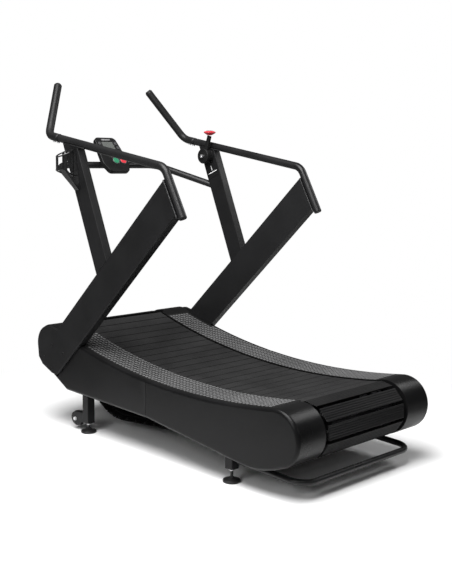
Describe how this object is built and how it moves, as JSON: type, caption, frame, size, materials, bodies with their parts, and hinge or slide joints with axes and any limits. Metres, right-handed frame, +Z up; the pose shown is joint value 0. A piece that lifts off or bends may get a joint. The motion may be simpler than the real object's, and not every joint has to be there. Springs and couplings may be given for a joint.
{
  "type": "curved manual treadmill",
  "caption": "Curved self-powered treadmill with a slatted running belt, side covers, slanted arms, handrails, a small console and a resistance lever.",
  "frame": {"origin": "on the floor, midway between the two sides of the machine and midway along it; the bottle cage stands out on the left only", "axes": "+X to the user's right, +Y forward (the way the user runs), +Z up"},
  "size_m": [0.948, 1.6476, 1.5746],
  "materials": {
    "black_paint": "satin powder coat",
    "rail_black": "satin powder coat",
    "cover_plastic": "satin textured",
    "black_plastic": "satin",
    "gloss_black": "gloss",
    "slat_rubber": "matte ribbed",
    "pad_rubber": "raised dots",
    "foot_rubber": "matte",
    "zinc": "zinc plated",
    "steel_dark": "satin",
    "aluminium": "turned",
    "handle_silver": "satin silver",
    "lcd": "grey display window",
    "green": "gloss",
    "red": "gloss",
    "key_grey": "satin",
    "scale_white": "satin"
  },
  "bodies": {
    "belt_return": {"belt_return": "slat_rubber"},
    "belt_deck": {"belt_deck": "slat_rubber"},
    "belt_front": {"belt_front": "slat_rubber"},
    "belt_drop": {"belt_drop": "slat_rubber"},
    "belt_sag": {"belt_sag": "slat_rubber"},
    "belt_rear": {"belt_rear": "slat_rubber"},
    "front_shaft": {"front_shaft": "steel_dark", "brake_disc": "aluminium"},
    "rear_shaft": {"rear_shaft": "steel_dark"},
    "magnet_yoke": {"magnet_yoke": "steel_dark"},
    "lever": {"lever_arm": "black_plastic", "lever_knob": "red"},
    "green_button": {"green_button": "green"},
    "red_button": {"red_button": "red"},
    "key_a": {"console_key_a": "key_grey"},
    "key_b": {"console_key_b": "key_grey"},
    "key_c": {"console_key_c": "key_grey"},
    "key_d": {"console_key_d": "key_grey"},
    "wheel_right": {"wheel_right": "foot_rubber"},
    "wheel_left": {"wheel_left": "foot_rubber"},
    "foot_front_right": {"foot_front_right": "foot_rubber"},
    "foot_front_left": {"foot_front_left": "foot_rubber"},
    "foot_rear_right": {"foot_rear_right": "foot_rubber"},
    "foot_rear_left": {"foot_rear_left": "foot_rubber"},
    "frame": {"shaft_bearings": "steel_dark", "side_frame_right": "black_paint", "side_frame_left": "black_paint", "cross_members": "black_paint", "front_legs": "black_paint", "rear_legs": "black_paint", "deck_rails": "zinc", "deck_bearings": "steel_dark", "bearing_bolts": "zinc", "lift_handle": "handle_silver", "arm_right": "black_paint", "arm_left": "black_paint", "upright_right": "black_paint", "upright_left": "black_paint", "handrail_right": "rail_black", "handrail_left": "rail_black", "push_handle_right": "rail_black", "push_handle_left": "rail_black", "tube_plugs": "black_plastic", "handle_bolts": "zinc", "crossbar": "rail_black", "cover_rear_right": "cover_plastic", "cover_rear_left": "cover_plastic", "cover_front_right": "cover_plastic", "cover_front_left": "cover_plastic", "foot_pad_right": "pad_rubber", "foot_pad_left": "pad_rubber", "cover_screws": "black_paint", "console_body": "black_plastic", "console_screen": "lcd", "lever_base": "black_plastic", "lever_bolt": "zinc", "level_scale": "scale_white", "cup_holder": "gloss_black", "wheel_bolts": "zinc", "lock_nuts": "zinc"}
  },
  "joints": [
    {"name": "belt_travel", "type": "slide", "parent": "frame", "child": "belt_return", "axis": [0, 0.9971, -0.0756], "range_m": [-0.03, 0.03]},
    {"name": "deck_run", "type": "hinge", "parent": "frame", "child": "belt_deck", "pos_m": [0, -0.257, 3.32], "axis": [1, 0, 0], "range_deg": [-0.77, 0.77]},
    {"name": "front_turn", "type": "hinge", "parent": "frame", "child": "belt_front", "pos_m": [0, 0.691, 0.37901], "axis": [1, 0, 0], "range_deg": [-23.75, 23.75]},
    {"name": "rear_turn", "type": "hinge", "parent": "frame", "child": "belt_rear", "pos_m": [0, -0.707, 0.24374], "axis": [1, 0, 0], "range_deg": [-18.88, 18.88]},
    {"name": "sag_turn", "type": "hinge", "parent": "frame", "child": "belt_sag", "pos_m": [0, 0.39, 0.312], "axis": [1, 0, 0], "range_deg": [-7.27, 7.27]},
    {"name": "drop_run", "type": "slide", "parent": "frame", "child": "belt_drop", "axis": [0, 0.6946, 0.7194], "range_m": [-0.031, 0.031]},
    {"name": "front_shaft_spin", "type": "hinge", "parent": "frame", "child": "front_shaft", "pos_m": [0, 0.691, 0.37901], "axis": [1, 0, 0], "range_deg": [-23.75, 23.75]},
    {"name": "rear_shaft_spin", "type": "hinge", "parent": "frame", "child": "rear_shaft", "pos_m": [0, -0.707, 0.24374], "axis": [1, 0, 0], "range_deg": [-18.88, 18.88]},
    {"name": "lever_tilt", "type": "hinge", "parent": "frame", "child": "lever", "pos_m": [0.367, 0.488, 1.25], "axis": [1, 0, 0], "range_deg": [-35, 20]},
    {"name": "yoke_swing", "type": "hinge", "parent": "frame", "child": "magnet_yoke", "pos_m": [0.355, 0.578, 0.344], "axis": [1, 0, 0], "range_deg": [-10.5, 18]},
    {"name": "wheel_right_spin", "type": "hinge", "parent": "frame", "child": "wheel_right", "pos_m": [0.361, 0.549, 0.052], "axis": [1, 0, 0], "continuous": true},
    {"name": "wheel_left_spin", "type": "hinge", "parent": "frame", "child": "wheel_left", "pos_m": [-0.361, 0.549, 0.052], "axis": [1, 0, 0], "continuous": true},
    {"name": "green_press", "type": "slide", "parent": "frame", "child": "green_button", "axis": [0, 0.783, -0.622], "range_m": [0, 0.0015], "stiffness_N_per_m": 800},
    {"name": "red_press", "type": "slide", "parent": "frame", "child": "red_button", "axis": [0, 0.783, -0.622], "range_m": [0, 0.0015], "stiffness_N_per_m": 800},
    {"name": "key_a_press", "type": "slide", "parent": "frame", "child": "key_a", "axis": [0, 0.783, -0.622], "range_m": [0, 0.0015], "stiffness_N_per_m": 800},
    {"name": "key_b_press", "type": "slide", "parent": "frame", "child": "key_b", "axis": [0, 0.783, -0.622], "range_m": [0, 0.0015], "stiffness_N_per_m": 800},
    {"name": "key_c_press", "type": "slide", "parent": "frame", "child": "key_c", "axis": [0, 0.783, -0.622], "range_m": [0, 0.0015], "stiffness_N_per_m": 800},
    {"name": "key_d_press", "type": "slide", "parent": "frame", "child": "key_d", "axis": [0, 0.783, -0.622], "range_m": [0, 0.0015], "stiffness_N_per_m": 800},
    {"name": "foot_front_right_screw", "type": "hinge", "parent": "frame", "child": "foot_front_right", "pos_m": [0.361, 0.473, 0], "axis": [0, 0, 1], "range_deg": [-3080, 2050]},
    {"name": "foot_front_left_screw", "type": "hinge", "parent": "frame", "child": "foot_front_left", "pos_m": [-0.361, 0.473, 0], "axis": [0, 0, 1], "range_deg": [-3080, 2050]},
    {"name": "foot_rear_right_screw", "type": "hinge", "parent": "frame", "child": "foot_rear_right", "pos_m": [0.361, -0.437, 0], "axis": [0, 0, 1], "range_deg": [-4110, 4110]},
    {"name": "foot_rear_left_screw", "type": "hinge", "parent": "frame", "child": "foot_rear_left", "pos_m": [-0.361, -0.437, 0], "axis": [0, 0, 1], "range_deg": [-4110, 4110]}
  ],
  "couplings": [
    {"joint": "deck_run", "follows": "belt_travel", "rad_per_m": -0.33145},
    {"joint": "front_turn", "follows": "belt_travel", "rad_per_m": 13.699},
    {"joint": "rear_turn", "follows": "belt_travel", "rad_per_m": 10.87},
    {"joint": "sag_turn", "follows": "belt_travel", "rad_per_m": 4.1152},
    {"joint": "drop_run", "follows": "belt_travel", "ratio": 1},
    {"joint": "front_shaft_spin", "follows": "belt_travel", "rad_per_m": 13.699},
    {"joint": "rear_shaft_spin", "follows": "belt_travel", "rad_per_m": 10.87},
    {"joint": "yoke_swing", "follows": "lever_tilt", "ratio": -0.5}
  ]
}
